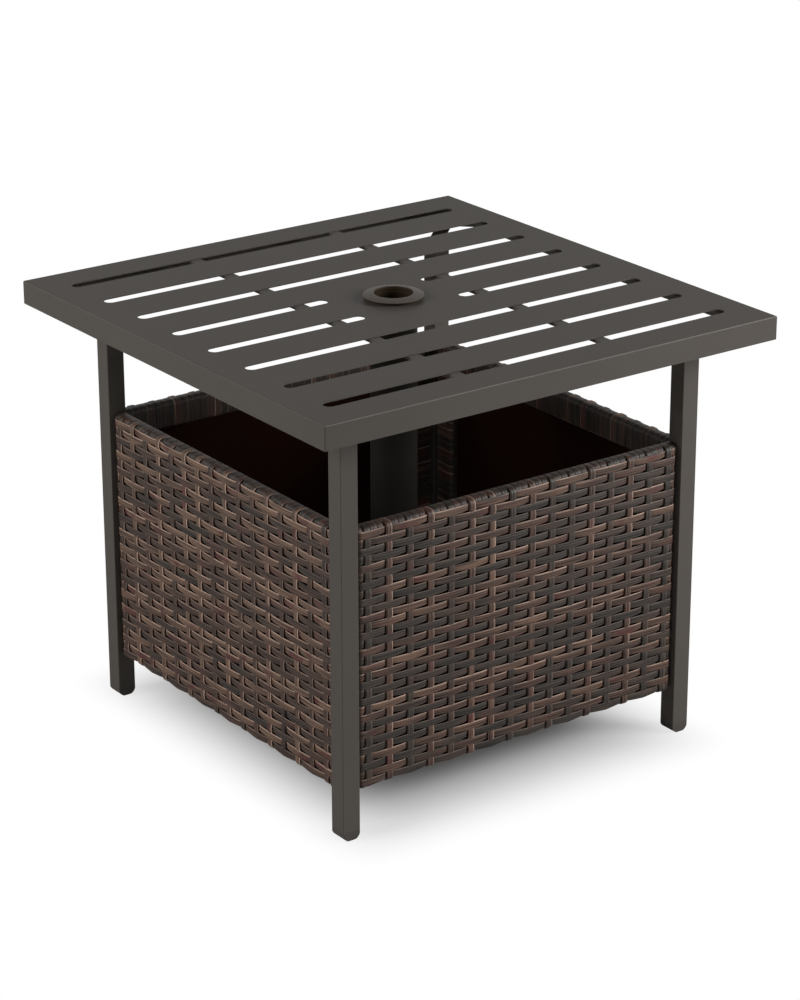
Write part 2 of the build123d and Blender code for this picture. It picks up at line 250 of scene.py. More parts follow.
@dataclass(frozen=True)
class FoldedCoat(PowderCoat):
    """The same coat on the folded top, with a painted highlight: a thin pale line along the folds, stronger
    on the front and back than on the sides.

    The half side and the height are those of the top, in metres.
    """

    half: float = 0.0
    height: float = 0.0
    # Painted highlight: the pale colour that stands for the light caught along the folds.
    rubbed: str = "#a39d97"
    rub_mm: float = 1.1
    rub_core: float = 1 / 3
    front_rub: float = 0.6
    side_rub: float = 0.25

    def near(self, tree: bpy.types.NodeTree, value: bpy.types.NodeSocket, limit: float,
             share: float) -> bpy.types.NodeSocket:
        """Strength that rises as a coordinate comes near its limit.

        Args:
            tree: Node tree that gets the node.
            value: Coordinate without its sign.
            limit: Greatest value of the coordinate.
            share: Strength at the limit.

        Returns:
            The strength socket.
        """
        width = self.rub_mm * MM
        rise = add_node(tree, "ShaderNodeMapRange", {
            "Value": value, "From Min": limit - width, "From Max": limit - width * self.rub_core,
            "To Max": share})
        return rise.outputs["Result"]

    def base(self, tree: bpy.types.NodeTree, place: bpy.types.NodeSocket) -> bpy.types.NodeSocket:
        """Colour of the coat with the painted highlight along its folds; arguments and result as for the
        plain coat.
        """
        unsigned = add_node(tree, "ShaderNodeVectorMath", {0: place}, operation="ABSOLUTE")
        sides = add_node(tree, "ShaderNodeSeparateXYZ", {"Vector": unsigned.outputs["Vector"]})
        at_sides = self.near(tree, sides.outputs["X"], self.half, self.side_rub)
        at_front = self.near(tree, sides.outputs["Y"], self.half, self.front_rub)
        at_top = self.near(tree, sides.outputs["Z"], self.height, 1.0)
        # Painted highlight along the top's folds, stronger on the front and back where the light falls.
        highlight_mask = reckon(tree, "MULTIPLY", reckon(tree, "MAXIMUM", at_sides, at_front), at_top)
        return mix(tree, highlight_mask, super().base(tree, place), linear(self.rubbed))


@dataclass(frozen=True)
class MouldedPlastic:
    """Polypropylene, injection moulded in a sparked tool: matt, with a fine even grain."""

    name: str
    colour: str
    roughness: float
    specular: float
    rough_swing: float = 0.06
    grain_mm: float = 0.8
    grain_strength: float = 0.15
    grain_height_mm: float = 0.05

    def base(self, tree: bpy.types.NodeTree, place: bpy.types.NodeSocket) -> Any:
        """Colour of the plastic.

        Args:
            tree: Node tree that may get nodes.
            place: Object coordinates.

        Returns:
            One colour, or a colour socket.
        """
        return linear(self.colour)

    def material(self) -> bpy.types.Material:
        """Build the plastic's material."""
        material, tree = new_material(self.name)
        place = add_node(tree, "ShaderNodeTexCoord").outputs["Object"]
        grain = add_node(tree, "ShaderNodeTexNoise", {
            "Vector": place, "Scale": per_mm(self.grain_mm), "Detail": 2.0})
        rough = add_node(tree, "ShaderNodeMapRange", {
            "Value": grain.outputs["Fac"], "To Min": self.roughness - self.rough_swing,
            "To Max": self.roughness + self.rough_swing})
        bump = add_node(tree, "ShaderNodeBump", {
            "Height": grain.outputs["Fac"], "Strength": self.grain_strength,
            "Distance": self.grain_height_mm * MM})
        shader = add_node(tree, "ShaderNodeBsdfPrincipled", {
            "Base Color": self.base(tree, place), "Roughness": rough.outputs["Result"],
            "Specular IOR Level": self.specular, "Normal": bump.outputs["Normal"]})
        add_node(tree, "ShaderNodeOutputMaterial", {"Surface": shader.outputs["BSDF"]})
        return material


@dataclass(frozen=True)
class RingPlastic(MouldedPlastic):
    """The umbrella ring's plastic, with painted shade: darker in its bore and on the neck under its lip."""

    # Painted shade: the colour of the bore and of the neck under the lip, which lie in shade.
    dirt: str = "#33291f"
    bore_mm: float = 20.4
    lip_drop_mm: float = 3.0
    fade_mm: float = 0.6

    def base(self, tree: bpy.types.NodeTree, place: bpy.types.NodeSocket) -> Any:
        """Colour of the plastic with its painted shade; arguments and result as for the plain plastic."""
        flat = add_node(tree, "ShaderNodeVectorMath", {0: place, 1: (1.0, 1.0, 0.0)}, operation="MULTIPLY")
        radius = add_node(tree, "ShaderNodeVectorMath", {0: flat.outputs["Vector"]}, operation="LENGTH")
        height = add_node(tree, "ShaderNodeSeparateXYZ", {"Vector": place})
        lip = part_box("umbrella_ring")[1].z - self.lip_drop_mm * MM
        limits = (radius.outputs["Value"], self.bore_mm * MM), (height.outputs["Z"], lip)
        inside, below = (add_node(tree, "ShaderNodeMapRange", {
            "Value": value, "From Min": limit, "From Max": limit + self.fade_mm * MM,
            "To Min": 1.0, "To Max": 0.0}).outputs["Result"] for value, limit in limits)
        # Painted shade: darker inside the bore and below the lip.
        shade_mask = reckon(tree, "MAXIMUM", inside, below)
        return mix(tree, shade_mask, linear(self.colour), linear(self.dirt))


@dataclass(frozen=True)
class ZincPlate:
    """Bright zinc plate on steel fixings: a cool metal, a little cloudy."""

    name: str = "zinc_plate"
    colour: str = "#b9bcc0"
    roughness: float = 0.34
    brighter: float = 0.1
    duller: float = 0.14
    cloud_mm: float = 3.0

    def material(self) -> bpy.types.Material:
        """Build the plating's material."""
        material, tree = new_material(self.name)
        place = add_node(tree, "ShaderNodeTexCoord").outputs["Object"]
        cloud = add_node(tree, "ShaderNodeTexNoise", {
            "Vector": place, "Scale": per_mm(self.cloud_mm), "Detail": 3.0})
        rough = add_node(tree, "ShaderNodeMapRange", {
            "Value": cloud.outputs["Fac"], "To Min": self.roughness - self.brighter,
            "To Max": self.roughness + self.duller})
        shader = add_node(tree, "ShaderNodeBsdfPrincipled", {
            "Base Color": linear(self.colour), "Metallic": 1.0, "Roughness": rough.outputs["Result"]})
        add_node(tree, "ShaderNodeOutputMaterial", {"Surface": shader.outputs["BSDF"]})
        return material


@dataclass(frozen=True)
class ResinWicker:
    """Polyethylene rattan: flat strands, extruded through a ridged die in streaked browns.

    The eye gets fine lengthwise lines, a satin sheen on each bulge, and a colour that drifts along
    a strand from charcoal through brown to tan, with a reddish patch here and there.
    """

    name: str = "resin_wicker"
    charcoal: str = "#171411"
    charcoal_light: str = "#3a312a"
    brown: str = "#241811"
    brown_light: str = "#563d32"
    tan: str = "#352820"
    tan_light: str = "#745a49"
    russet: str = "#2f1812"
    russet_light: str = "#5d362f"
    # Painted highlight: the pale colour laid along one edge of each strand, where the light falls.
    edge: str = "#b79b8a"
    edge_share: float = 0.8
    edge_least: float = 0.2
    edge_span: tuple[float, float] = (0.6, 0.9)
    roughness: float = 0.5
    specular: float = 0.3
    ridge_mm: float = 2.8
    ridge_strength: float = 0.5
    ridge_height_mm: float = 0.15
    streak_mm: float = 1.1
    streak_run_mm: float = 70.0
    streak_span: tuple[float, float] = (0.36, 0.64)
    drift_mm: float = 75.0
    drift_span: tuple[float, float] = (0.3, 0.7)
    drift_range: float = 0.5
    patch_mm: float = 45.0
    patch_span: tuple[float, float] = (0.56, 0.7)

    def strand_noise(self, tree: bpy.types.NodeTree, run_mm: float, width_mm: float,
                     span: tuple[float, float]) -> bpy.types.NodeSocket:
        """Noise that runs along each strand in a slice of its own.

        Args:
            tree: Node tree that gets the nodes.
            run_mm: Feature length along the strand.
            width_mm: Feature width across the strand.
            span: Noise levels that become zero and one.

        Returns:
            The strength socket, from zero to one.
        """
        place = add_node(tree, "ShaderNodeUVMap", uv_map=STRAND_UV)
        scaled = add_node(tree, "ShaderNodeVectorMath", {
            0: place.outputs["UV"], 1: (per_mm(run_mm), per_mm(width_mm), 0.0)}, operation="MULTIPLY")
        number = add_node(tree, "ShaderNodeAttribute", attribute_name=NUMBER)
        shift = add_node(tree, "ShaderNodeCombineXYZ", {"Z": number.outputs["Fac"]})
        moved = add_node(tree, "ShaderNodeVectorMath", {
            0: scaled.outputs["Vector"], 1: shift.outputs["Vector"]}, operation="ADD")
        noise = add_node(tree, "ShaderNodeTexNoise", {
            "Vector": moved.outputs["Vector"], "Scale": 1.0, "Detail": 2.0})
        spread = add_node(tree, "ShaderNodeMapRange", {
            "Value": noise.outputs["Fac"], "From Min": span[0], "From Max": span[1]})
        return spread.outputs["Result"]

    def colour(self, tree: bpy.types.NodeTree) -> bpy.types.NodeSocket:
        """Colour of the strands from their tone, slow drift, streaks and red patches, with a painted
        highlight along the upper edge of each row and one edge of each stake.

        Args:
            tree: Node tree that gets the nodes.

        Returns:
            The colour socket.
        """
        lines = self.strand_noise(tree, self.streak_run_mm, self.streak_mm, self.streak_span)
        drift = self.strand_noise(tree, self.drift_mm, self.drift_mm, self.drift_span)
        patch = self.strand_noise(tree, self.patch_mm, self.patch_mm, self.patch_span)
        charcoal, brown, tan, russet = (
            mix(tree, lines, linear(dark), linear(light)) for dark, light in (
                (self.charcoal, self.charcoal_light), (self.brown, self.brown_light),
                (self.tan, self.tan_light), (self.russet, self.russet_light)))
        tone = add_node(tree, "ShaderNodeAttribute", attribute_name=TONE)
        wander = add_node(tree, "ShaderNodeMapRange", {
            "Value": drift, "To Min": -self.drift_range, "To Max": self.drift_range})
        depth = reckon(tree, "ADD", tone.outputs["Fac"], wander.outputs["Result"])
        browned = mix(tree, depth, charcoal, brown)
        past_brown = reckon(tree, "SUBTRACT", depth, Tone.BROWN.value, clamp=True)
        tanned = mix(tree, past_brown, browned, tan)
        rusty = reckon(tree, "MULTIPLY", patch, depth, clamp=True)
        reddened = mix(tree, rusty, tanned, russet)
        # Painted highlight: paler along the positive edge of each strand, the upper edge of a row.
        across = add_node(tree, "ShaderNodeAttribute", attribute_name=ACROSS)
        rim = add_node(tree, "ShaderNodeMapRange", {
            "Value": across.outputs["Fac"], "From Min": self.edge_span[0], "From Max": self.edge_span[1],
            "To Max": self.edge_share})
        rubbed = reckon(tree, "MULTIPLY", reckon(tree, "MAXIMUM", depth, self.edge_least), lines, clamp=True)
        pale = reckon(tree, "MULTIPLY", rim.outputs["Result"], rubbed)
        return mix(tree, pale, reddened, linear(self.edge))

    def ridges(self, tree: bpy.types.NodeTree) -> bpy.types.NodeSocket:
        """Normal of the die's lengthwise ridges, drawn wider than they are so that they show.

        Args:
            tree: Node tree that gets the nodes.

        Returns:
            The normal socket.
        """
        place = add_node(tree, "ShaderNodeUVMap", uv_map=STRAND_UV)
        across = add_node(tree, "ShaderNodeSeparateXYZ", {"Vector": place.outputs["UV"]})
        phase = reckon(tree, "MULTIPLY", across.outputs["Y"], 2 * math.pi * per_mm(self.ridge_mm))
        bump = add_node(tree, "ShaderNodeBump", {
            "Height": reckon(tree, "SINE", phase), "Strength": self.ridge_strength,
            "Distance": self.ridge_height_mm * MM})
        return bump.outputs["Normal"]

    def material(self) -> bpy.types.Material:
        """Build the strands' material."""
        material, tree = new_material(self.name)
        shader = add_node(tree, "ShaderNodeBsdfPrincipled", {
            "Base Color": self.colour(tree), "Roughness": self.roughness,
            "Specular IOR Level": self.specular, "Normal": self.ridges(tree)})
        add_node(tree, "ShaderNodeOutputMaterial", {"Surface": shader.outputs["BSDF"]})
        return material


def dress(node: str, material: bpy.types.Material) -> None:
    """Give a node of the frame its finish.

    Args:
        node: Name of the node.
        material: Finish that goes into all of its material slots.
    """
    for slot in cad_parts[node].material_slots:
        slot.material = material
    LOG.info("dressed %s in %s", node, material.name)


def deselect() -> None:
    """Leave nothing selected and nothing active."""
    bpy.ops.object.select_all(action="DESELECT")
    bpy.context.view_layer.objects.active = None


def make_active(piece: bpy.types.Object) -> None:
    """Select one object alone and make it active.

    Args:
        piece: Object to select.
    """
    deselect()
    piece.select_set(True)
    bpy.context.view_layer.objects.active = piece


def apply_modifiers(piece: bpy.types.Object) -> None:
    """Apply every modifier of a piece, in order.

    Args:
        piece: Object with the modifiers.
    """
    make_active(piece)
    for modifier in list(piece.modifiers):
        bpy.ops.object.modifier_apply(modifier=modifier.name)


def join(pieces: list[bpy.types.Object], name: str) -> bpy.types.Object:
    """Join copies into one piece.

    Args:
        pieces: Objects to join; the first one stays.
        name: Name of the joined piece and its mesh.

    Returns:
        The joined piece.
    """
    deselect()
    for piece in pieces:
        piece.select_set(True)
    bpy.context.view_layer.objects.active = pieces[0]
    bpy.ops.object.join()
    joined = bpy.context.object
    joined.name = name
    joined.data.name = name
    return joined


def arc(centre: tuple[float, float], radius: float, start: float, end: float, steps: int) -> np.ndarray:
    """Points on an arc.

    Args:
        centre: Middle of the arc.
        radius: Radius of the arc.
        start: First angle in degrees.
        end: Last angle in degrees.
        steps: Number of points.

    Returns:
        An array of points, both ends included.
    """
    angles = np.radians(np.linspace(start, end, steps))
    return np.array(centre) + radius * np.stack([np.cos(angles), np.sin(angles)], axis=1)


@dataclass
class WovenPanel:
    """One skirt panel: flat strands woven over upright stakes, wrapped round a hidden frame.

    Positions on a panel are along it, outwards from its inner face and upwards, in millimetres. A row
    stands proud over its own stakes, dips behind the others, and is pinched there at its lower edge.
    """

    rows: int = 31
    stakes: int = 16
    top_row_drop: float = 6.8
    bottom_row_lift: float = 4.6
    outer_stake_inset: float = 11.4
    row_width: float = 8.3
    stake_width: float = 6.8
    wrap_width: float = 8.3
    strand_thick: float = 1.2
    edge_drop: float = 0.4
    section: tuple[float, ...] = (-1.0, -0.88, -0.6, 0.6, 0.88, 1.0)
    weave_depth: float = 15.7
    row_dip: float = 1.5
    row_lift: float = 0.6
    row_pinch: float = 2.0
    dip_flat: float = 2.6
    dip_reach: float = 10.4
    dip_curve: float = 3.0
    stake_setback: float = 0.7
    stake_swing: float = 0.6
    wrap_depth: float = 12.9
    wrap_tail: float = 10.32
    wrap_tail_drop: float = 1.2
    binding_depth: float = 13.0
    binding_width: float = 12.0
    binding_inset: float = 18.0
    edge_round: float = 4.3
    edge_points: int = 6
    tuck_end: float = -170.0
    tuck_points: int = 5
    band: float = 28.0
    row_steps: tuple[float, ...] = (-10.2, -7.6, -5.6, -4.0, -2.6, 0.0, 2.6, 4.0, 5.6, 7.6, 10.2)
    steps_per_row: int = 4
    wraps_per_stake: int = 3
    tan_rows: tuple[int, ...] = (0, 7, 11, 16, 21, 27)
    brown_rows: tuple[int, ...] = (1, 4, 10, 14, 17, 22, 24, 29)
    # Partly browner strands and partly painted light: the other sides' outer faces get a lighter tone than
    # the front's.
    side_brown: float = 0.75
    tan_stakes: tuple[int, ...] = (6,)
    brown_stakes: tuple[int, ...] = (1, 3, 5, 8, 11, 13)

    def __post_init__(self) -> None:
        """Read the panel's place and size from the front panel's node."""
        low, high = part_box("front_panel_weave")
        self.half = high.x / MM
        self.inner_face = -high.y / MM
        self.bottom = low.z / MM
        self.top = high.z / MM
        self.row_pitch = (self.top - self.bottom - self.top_row_drop - self.bottom_row_lift) / (self.rows - 1)
        self.stake_pitch = 2 * (self.half - self.outer_stake_inset) / (self.stakes - 1)
        self.skin = self.strand_thick / 2
        self.inner_run = self.band - 2 * self.edge_round

    def row_height(self, row: int) -> float:
        """Middle height of a row.

        Args:
            row: Number of the row, counted from the top.

        Returns:
            Height above the floor.
        """
        return self.top - self.top_row_drop - row * self.row_pitch

    def stake_place(self, stake: float) -> float:
        """Place of a stake along the panel.

        Args:
            stake: Number of the stake, counted from the left end; a fraction is between two stakes.

        Returns:
            Place from the panel's middle.
        """
        return -self.half + self.outer_stake_inset + stake * self.stake_pitch

    def row_phase(self, along: np.ndarray, over_even: bool) -> np.ndarray:
        """Where a row is between the stakes that it passes behind and over.

        Args:
            along: Places along the panel.
            over_even: Whether the row passes over the even stakes.

        Returns:
            Shares, zero behind a stake and one over the next.
        """
        turns = (along - self.stake_place(int(over_even))) / (2 * self.stake_pitch)
        return 2 * np.abs(turns - np.rint(turns))

    def stake_depth(self, height: np.ndarray, over_even: bool) -> np.ndarray:
        """Depth of a stake's middle line, out where its row passes behind it.

        Args:
            height: Heights above the floor.
            over_even: Whether the stake passes over the even rows.

        Returns:
            Depths outwards from the inner face.
        """
        turns = (self.row_height(0) - height) / self.row_pitch
        swing = np.cos(math.pi * turns) * (1 if over_even else -1)
        return self.weave_depth - self.stake_setback + self.stake_swing * swing

    def round_the_edge(self, edge: float, depth: float, run: float) -> np.ndarray:
        """Line of a strand from the outer face round an edge to the inner face and along it.

        Args:
            edge: Place of the panel's edge, positive; the strand lies inside it.
            depth: Depth at which the strand leaves the outer face.
            run: Length of the run along the inner face.

        Returns:
            Points as place and depth.
        """
        reach = edge - self.skin
        middle = reach - self.edge_round
        level = self.skin + self.edge_round
        outer = arc((middle, depth - self.edge_round), self.edge_round, 90, 0, self.edge_points)
        inner = arc((middle, level), self.edge_round, 0, -90, self.edge_points)
        if run <= 0:
            return np.concatenate([outer, inner[:self.edge_points // 2]])
        straight = np.array([[middle - run / 2, self.skin]])
        tuck = arc((middle - run, level), self.edge_round, -90, self.tuck_end, self.tuck_points)
        return np.concatenate([outer, inner, straight, tuck])

    def even(self, path: np.ndarray, width: float) -> np.ndarray:
        """Edges of a strand of one width.

        Args:
            path: Points of its middle line.
            width: Width of the strand.

        Returns:
            Lower and upper half width at each point.
        """
        return np.full((len(path), 2), width / 2)

    def row_path(self, over_even: bool, run: float) -> tuple[np.ndarray, np.ndarray]:
        """Middle line of one row from its left tuck to its right tuck, and its edges on the way.

        Args:
            over_even: Whether the row passes over the even stakes.
            run: Length of the runs along the inner face, none for rows under the edge wraps.

        Returns:
            Points as place along the panel and depth, and the lower and upper half width at each.
        """
        end = self.half - self.skin - self.edge_round
        places = [self.stake_place(stake) + step for stake in range(self.stakes) for step in self.row_steps]
        along = np.array([-end, *(place for place in places if abs(place) < end), end])
        phase = self.row_phase(along, over_even)
        proud = self.row_lift * (0.5 - 0.5 * np.cos(math.pi * phase))
        behind = np.clip(1 - (phase * self.stake_pitch - self.dip_flat) / self.dip_reach, 0, 1)
        depth = self.weave_depth + proud - self.row_dip * behind ** self.dip_curve
        front = np.stack([along, depth], axis=1)
        right = self.round_the_edge(self.half, front[-1, 1], run)
        left = self.round_the_edge(self.half, front[0, 1], run) * np.array([-1, 1])
        path = np.concatenate([left[::-1], front[1:-1], right])
        halves = self.even(path, self.row_pitch)
        halves[len(left):-len(right)] = self.row_width / 2
        halves[len(left):-len(right), 0] -= self.row_pinch * (1 - phase[1:-1])
        return path, halves

    def stake_path(self, over_even: bool) -> np.ndarray:
        """Middle line of one stake from its lower tuck to its upper tuck.

        Args:
            over_even: Whether the stake passes over the even rows.

        Returns:
            Points as height and depth.
        """
        margin = self.skin + self.edge_round
        low, high = self.bottom + margin, self.top - margin
        steps = round((high - low) / self.row_pitch * self.steps_per_row)
        heights = np.linspace(low, high, steps + 1)
        front = np.stack([heights, self.stake_depth(heights, over_even)], axis=1)
        upper = self.round_the_edge(self.top, front[-1, 1], self.inner_run)
        lower = self.round_the_edge(-self.bottom, front[0, 1], self.inner_run) * np.array([-1, 1])
        return np.concatenate([lower[::-1], front[1:-1], upper])

    def wrap_path(self, upper: bool) -> np.ndarray:
        """Middle line of one edge wrap, from behind the outer row to its tuck inside.

        Args:
            upper: Whether the wrap goes round the upper edge.

        Returns:
            Points as height and depth.
        """
        edge = self.top if upper else -self.bottom
        line = self.round_the_edge(edge, self.wrap_depth, self.inner_run)
        behind = np.array([[edge - self.wrap_tail, self.wrap_depth - self.wrap_tail_drop]])
        line = np.concatenate([behind, line])
        return line if upper else line * np.array([-1, 1])

    def strand(self, path: np.ndarray, halves: np.ndarray, upright: bool) -> bpy.types.Object:
        """Model one flat strand along a path: a grid laid on it, crowned, then thickened.

        Args:
            path: Points as running place and depth.
            halves: Half widths below and above the middle line at each point.
            upright: Whether the path runs upwards, and not along the panel.

        Returns:
            The strand, at the middle of the panel or at the floor.
        """
        deselect()
        sides = len(self.section) - 1
        bpy.ops.mesh.primitive_grid_add(x_subdivisions=len(path) - 1, y_subdivisions=sides, size=1.0)
        strand = bpy.context.object
        mesh = strand.data
        flat = np.empty(len(mesh.vertices) * 3)
        mesh.vertices.foreach_get("co", flat)
        flat = flat.reshape(-1, 3)
        step = np.rint((flat[:, 0] + 0.5) * (len(path) - 1)).astype(int)
        share = np.array(self.section)[np.rint((flat[:, 1] + 0.5) * sides).astype(int)]

        tangent = np.gradient(path, axis=0)
        tangent /= np.linalg.norm(tangent, axis=1)[:, None]
        normal = np.stack([-tangent[:, 1], tangent[:, 0]], axis=1)
        rise = self.skin - self.edge_drop * share ** 4
        line = path[step] + normal[step] * rise[:, None]
        across = share * np.where(share < 0, halves[step, 0], halves[step, 1])
        along, up = (across, line[:, 0]) if upright else (line[:, 0], across)
        placed = np.stack([along, -self.inner_face - line[:, 1], up], axis=1) * MM
        mesh.vertices.foreach_set("co", placed.ravel())

        lengths = np.concatenate([[0], np.cumsum(np.linalg.norm(np.diff(path, axis=0), axis=1))])
        corner = np.empty(len(mesh.loops), dtype=int)
        mesh.loops.foreach_get("vertex_index", corner)
        layer = mesh.uv_layers.active
        layer.name = STRAND_UV
        layer.uv.foreach_set("vector", np.stack([lengths[step], across], axis=1)[corner].ravel() * MM)

        # The share across the strand also places the painted highlight on its positive edge.
        edge = mesh.attributes.new(ACROSS, "FLOAT", "POINT")
        edge.data.foreach_set("value", share)

        thicken = strand.modifiers.new("thickness", "SOLIDIFY")
        thicken.thickness = self.strand_thick * MM
        thicken.offset = -1.0
        apply_modifiers(strand)
        bpy.ops.object.mode_set(mode="EDIT")
        bpy.ops.mesh.select_all(action="SELECT")
        bpy.ops.mesh.normals_make_consistent(inside=False)
        bpy.ops.object.mode_set(mode="OBJECT")
        bpy.ops.object.shade_smooth_by_angle(angle=SMOOTH_ANGLE)
        return strand

    def lay(self, strand: bpy.types.Object, shift: Vector, tone: Tone, number: int) -> bpy.types.Object:
        """Copy a strand to its place with its tone and number.

        Args:
            strand: Strand to copy.
            shift: Move to its place, in millimetres.
            tone: Colour of the strand.
            number: Number that sets its own streaks.

        Returns:
            The copy, with its own mesh.
        """
        laid = strand.copy()
        laid.data = strand.data.copy()
        bpy.context.collection.objects.link(laid)
        laid.data.transform(Matrix.Translation(shift * MM))
        for name, value in ((TONE, tone.value), (NUMBER, number * NUMBER_STEP)):
            attribute = laid.data.attributes.new(name, "FLOAT", "POINT")
            attribute.data.foreach_set("value", np.full(len(laid.data.vertices), value))
        return laid

    def tone(self, number: int, tan: tuple[int, ...], brown: tuple[int, ...]) -> Tone:
        """Colour of a row or a stake.

        Args:
            number: Number of the row or stake.
            tan: Numbers of the tan ones.
            brown: Numbers of the brown ones.

        Returns:
            Its tone, charcoal if it is neither.
        """
        if number in tan:
            return Tone.TAN
        return Tone.BROWN if number in brown else Tone.CHARCOAL

    def weave_rows(self) -> bpy.types.Object:
        """Model the front panel's rows.

        Returns:
            The rows as one piece.
        """
        patterns = {
            (over_even, inside): self.strand(*self.row_path(over_even, self.inner_run * inside), False)
            for over_even in (True, False) for inside in (0, 1)
        }
        laid = []
        for row in range(self.rows):
            height = self.row_height(row)
            inside = int(self.bottom + self.band < height < self.top - self.band)
            pattern = patterns[row % 2 == 0, inside]
            tone = self.tone(row, self.tan_rows, self.brown_rows)
            laid.append(self.lay(pattern, Vector((0, 0, height)), tone, row))
        for pattern in patterns.values():
            bpy.data.objects.remove(pattern)
        return join(laid, "front_panel_rows")

    def set_stakes(self) -> bpy.types.Object:
        """Model the front panel's stakes.

        Returns:
            The stakes as one piece.
        """
        patterns = {}
        for over_even in (True, False):
            path = self.stake_path(over_even)
            patterns[over_even] = self.strand(path, self.even(path, self.stake_width), True)
        laid = []
        for stake in range(self.stakes):
            place = Vector((self.stake_place(stake), 0, 0))
            tone = self.tone(stake, self.tan_stakes, self.brown_stakes)
            laid.append(self.lay(patterns[stake % 2 == 1], place, tone, FIRST_STAKE + stake))
        for pattern in patterns.values():
            bpy.data.objects.remove(pattern)
        return join(laid, "front_panel_stakes")

    def bind_liner(self) -> list[bpy.types.Object]:
        """Model the two flat bindings behind the rows, which close the slits beside the liner.

        Returns:
            The two bindings.
        """
        ends = self.bottom + self.binding_inset, self.top - self.binding_inset
        path = np.array([[end, self.binding_depth] for end in ends])
        pattern = self.strand(path, self.even(path, self.binding_width), True)
        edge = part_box("front_panel_liner")[1].x / MM
        laid = [self.lay(pattern, Vector((place, 0, 0)), Tone.CHARCOAL, BINDING) for place in (-edge, edge)]
        bpy.data.objects.remove(pattern)
        return laid

    def wrap_edges(self) -> bpy.types.Object:
        """Model the wraps between the stakes on the front panel's upper and lower edges.

        Returns:
            The wraps and the bindings as one piece.
        """
        laid = self.bind_liner()
        for upper in (True, False):
            path = self.wrap_path(upper)
            pattern = self.strand(path, self.even(path, self.wrap_width), True)
            for wrap in range(self.stakes * self.wraps_per_stake):
                stake = (wrap - 1) / self.wraps_per_stake
                if stake == int(stake):
                    continue
                place = Vector((self.stake_place(stake), 0, 0))
                laid.append(self.lay(pattern, place, Tone.CHARCOAL, FIRST_WRAP + wrap))
            bpy.data.objects.remove(pattern)
        return join(laid, "front_panel_wraps")

    def vary(self, piece: bpy.types.Object, side: Side, brown_and_light: float) -> None:
        """Give a copied piece streaks of its own and a browner, lighter tone on its outer face, partly
        browner strands and partly painted light.

        Args:
            piece: Copy of a piece of the front panel, not yet turned to its side.
            side: Side that the copy is for.
            brown_and_light: How much the tone of its strands is raised, the brown ones most; partly browner
                strands, partly painted light.
        """
        points = np.empty(len(piece.data.vertices) * 3)
        piece.data.vertices.foreach_get("co", points)
        depth = -points[1::3] / MM - self.inner_face
        raised = brown_and_light * np.clip(depth / self.edge_round - 1, 0, 1)
        changes = (NUMBER, 1.0, side.value * NUMBER_STEP), (TONE, 1 + raised, raised / 2)
        for name, factor, more in changes:
            values = np.empty(len(piece.data.vertices))
            layer = piece.data.attributes[name].data
            layer.foreach_get("value", values)
            layer.foreach_set("value", values * factor + more)

    def build(self, finish: bpy.types.Material) -> None:
        """Weave the front panel and copy it to the other sides.

        Args:
            finish: Material of the strands.
        """
        woven = (
            (self.weave_rows(), self.side_brown),
            (self.set_stakes(), self.side_brown),
            (self.wrap_edges(), 0.0),
        )
        for piece, brown_and_light in woven:
            piece.data.materials.clear()
            piece.data.materials.append(finish)
            for side in Side:
                copy = piece
                if side is not Side.FRONT:
                    copy = piece.copy()
                    copy.data = piece.data.copy()
                    bpy.context.collection.objects.link(copy)
                    self.vary(copy, side, brown_and_light)
                    copy.data.transform(Matrix.Rotation(math.radians(side.value), 4, "Z"))
                    copy.name = piece.name.replace(Side.FRONT.label, side.label)
                    copy.data.name = copy.name
                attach(copy, BODY)
                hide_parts(f"{side.label}_panel_weave")
                LOG.info("wove %s", copy.name)


@dataclass
class SteelWork:
    """The coated steel of the table: top, stiffeners, braces, legs, tabs and lugs, and the tube, whose darker
    coat is painted shade.
    """

    coat: PowderCoat
    tube_coat: PowderCoat

    def build(self) -> None:
        """Dress the steel nodes."""
        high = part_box("slotted_top")[1]
        # Painted highlight: the top's coat pales along its folds, where they catch the light.
        top = FoldedCoat(
            "rubbed_powder_coat", self.coat.colour, self.coat.shade, half=high.y, height=high.z)
        dress("slotted_top", top.material())
        material = self.coat.material()
        for node in ("stiffener_left", "stiffener_right"):
            dress(node, material)
        # Painted shade: the tube and its flange are coloured darker for the shade inside the box.
        dark = self.tube_coat.material()
        for node in ("umbrella_tube", "tube_flange"):
            dress(node, dark)
        for corner in Corner:
            for piece in ("corner_brace", "leg", "leg_tab"):
                dress(f"{piece}_{corner.value}", material)
        for side in Side:
            dress(f"{side.label}_panel_lugs", material)
            dress(f"{side.label}_panel_frame", material)


@dataclass
class Mouldings:
    """The plastic pieces: umbrella ring and feet, and the boards that line the panels, whose near-black
    colour is painted shade.
    """

    ring: MouldedPlastic
    foot: MouldedPlastic
    liner: MouldedPlastic

    def build(self) -> None:
        """Dress the plastic nodes."""
        dress("umbrella_ring", self.ring.material())
        foot = self.foot.material()
        for corner in Corner:
            dress(f"foot_{corner.value}", foot)
        liner = self.liner.material()
        for side in Side:
            dress(f"{side.label}_panel_liner", liner)


@dataclass
class Fixings:
    """Bolts and nuts, zinc plated."""

    plate: ZincPlate

    def build(self) -> None:
        """Dress the fixing nodes."""
        material = self.plate.material()
        for node in ("panel_bolts", "panel_rivet_nuts", "top_bolts", "top_weld_nuts"):
            dress(node, material)


